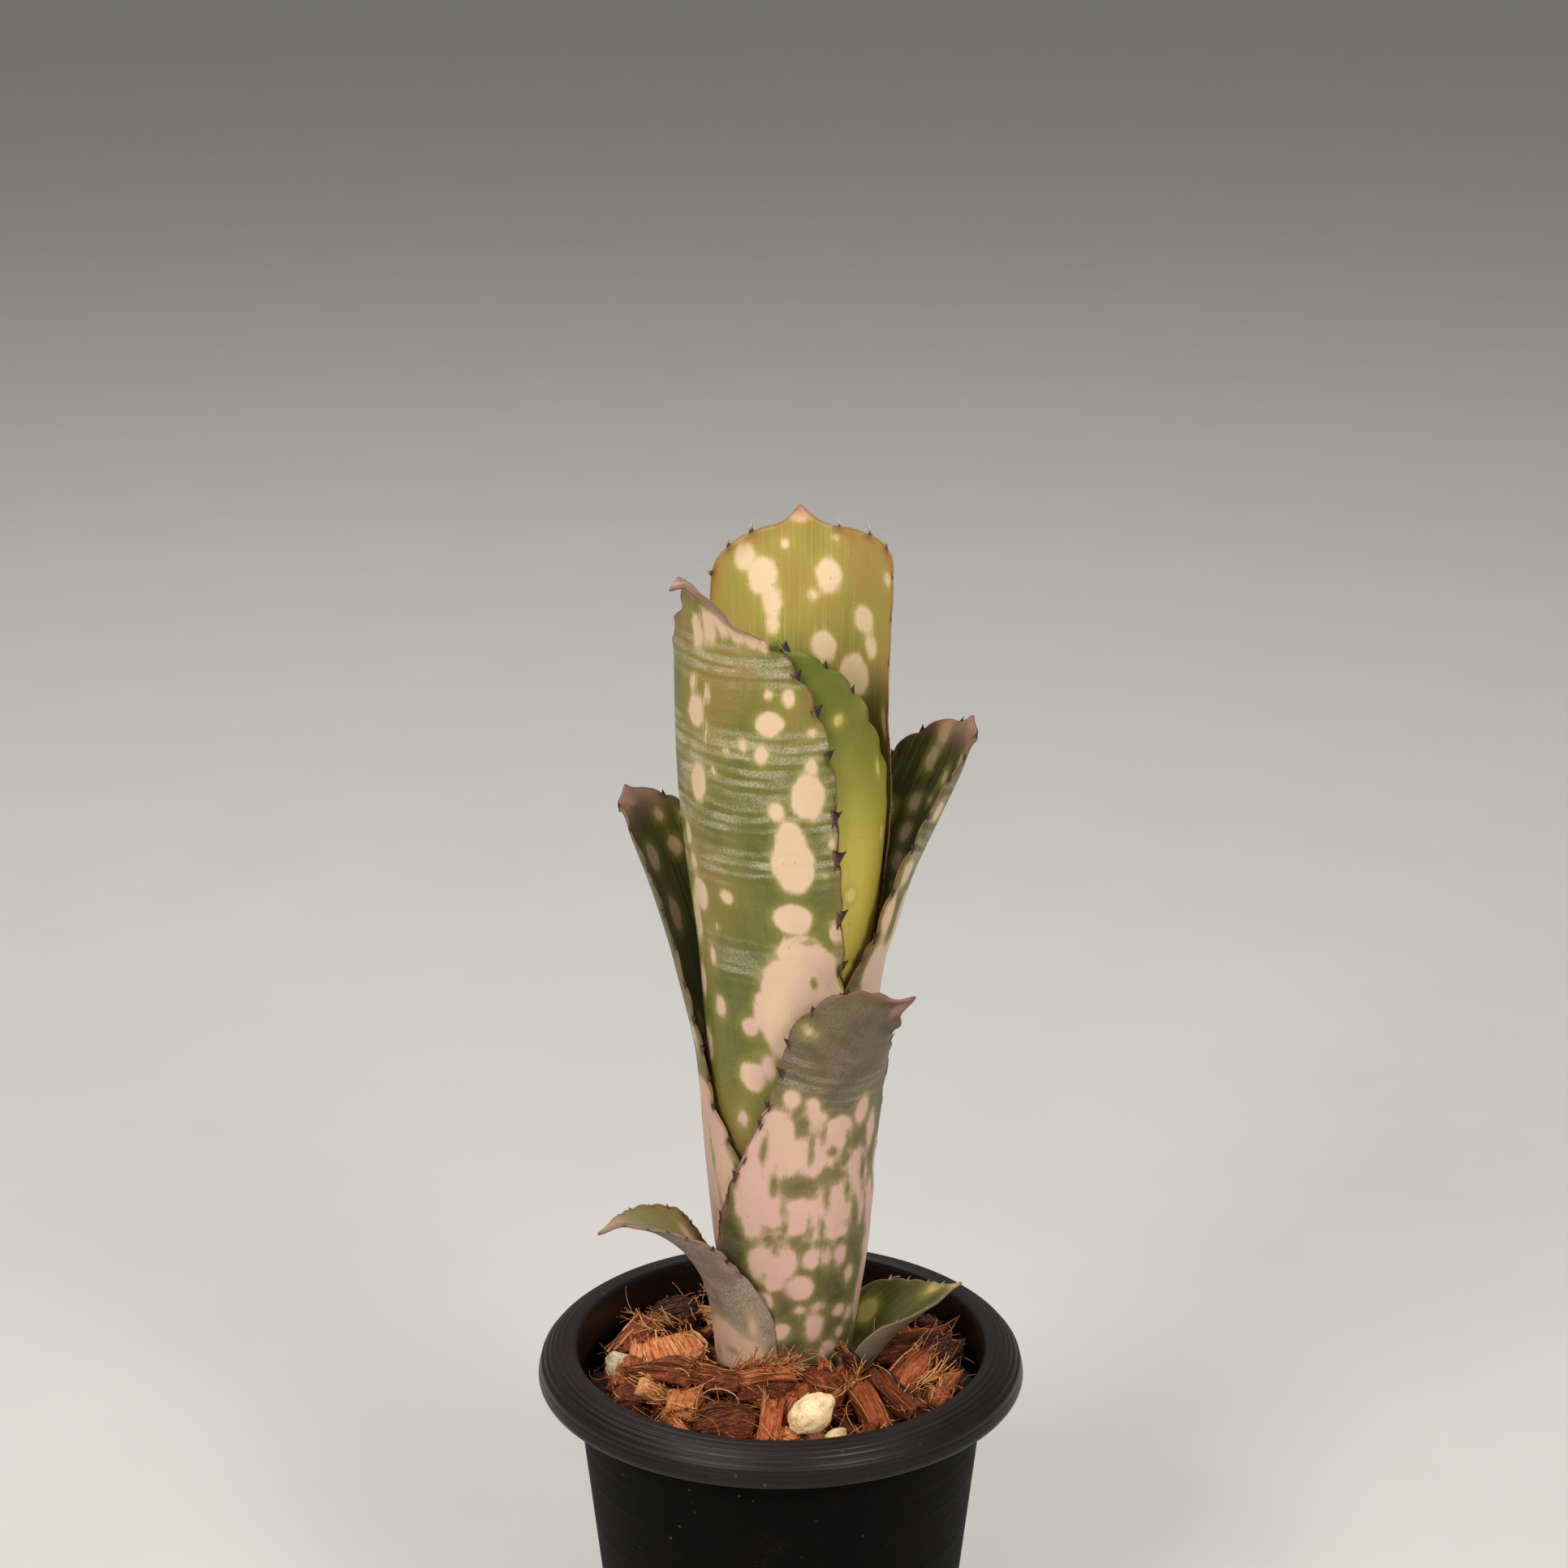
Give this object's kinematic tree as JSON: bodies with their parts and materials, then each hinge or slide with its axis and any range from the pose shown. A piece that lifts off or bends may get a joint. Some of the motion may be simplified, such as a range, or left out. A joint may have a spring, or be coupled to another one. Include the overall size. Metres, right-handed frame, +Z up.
{
  "type": "potted bromeliad",
  "caption": "Young tube-forming bromeliad with spiny, cream-blotched strap leaves wrapped into a tall tube, planted in coconut husk chips in a black round nursery pot with a rolled rim.",
  "frame": {"origin": "middle of the pot's foot, on the surface that the pot stands on", "axes": "+Z up along the pot's axis, -Y towards the viewer of the front, +X to the viewer's right"},
  "size_m": [0.12, 0.12, 0.3135],
  "materials": {
    "pot_plastic": "black moulded polypropylene, satin",
    "husk_chips": "dry fibrous coconut husk chips, reddish brown with tan fibres",
    "pumice": "rough porous cream pumice",
    "stem_tissue": "pale fibrous plant stem",
    "leaf_young": "smooth translucent yellow-green young leaf",
    "leaf_blotched": "leathery olive green leaf with cream blotches and silver-grey scurf bands",
    "leaf_pale": "leathery leaf, mostly pinkish cream with grey-green patches and scurf"
  },
  "bodies": {
    "root": {"pot": "pot_plastic", "husk_bed": "husk_chips", "pumice_large": "pumice", "pumice_grey": "pumice", "pumice_chip": "pumice", "stem": "stem_tissue", "leaf_inner_young": "leaf_young", "leaf_back_tall": "leaf_blotched", "leaf_front_left": "leaf_blotched", "leaf_right": "leaf_blotched", "leaf_left": "leaf_blotched", "leaf_front_right": "leaf_pale", "leaf_low_right": "leaf_pale", "leaf_low_left": "leaf_pale"}
  },
  "joints": []
}
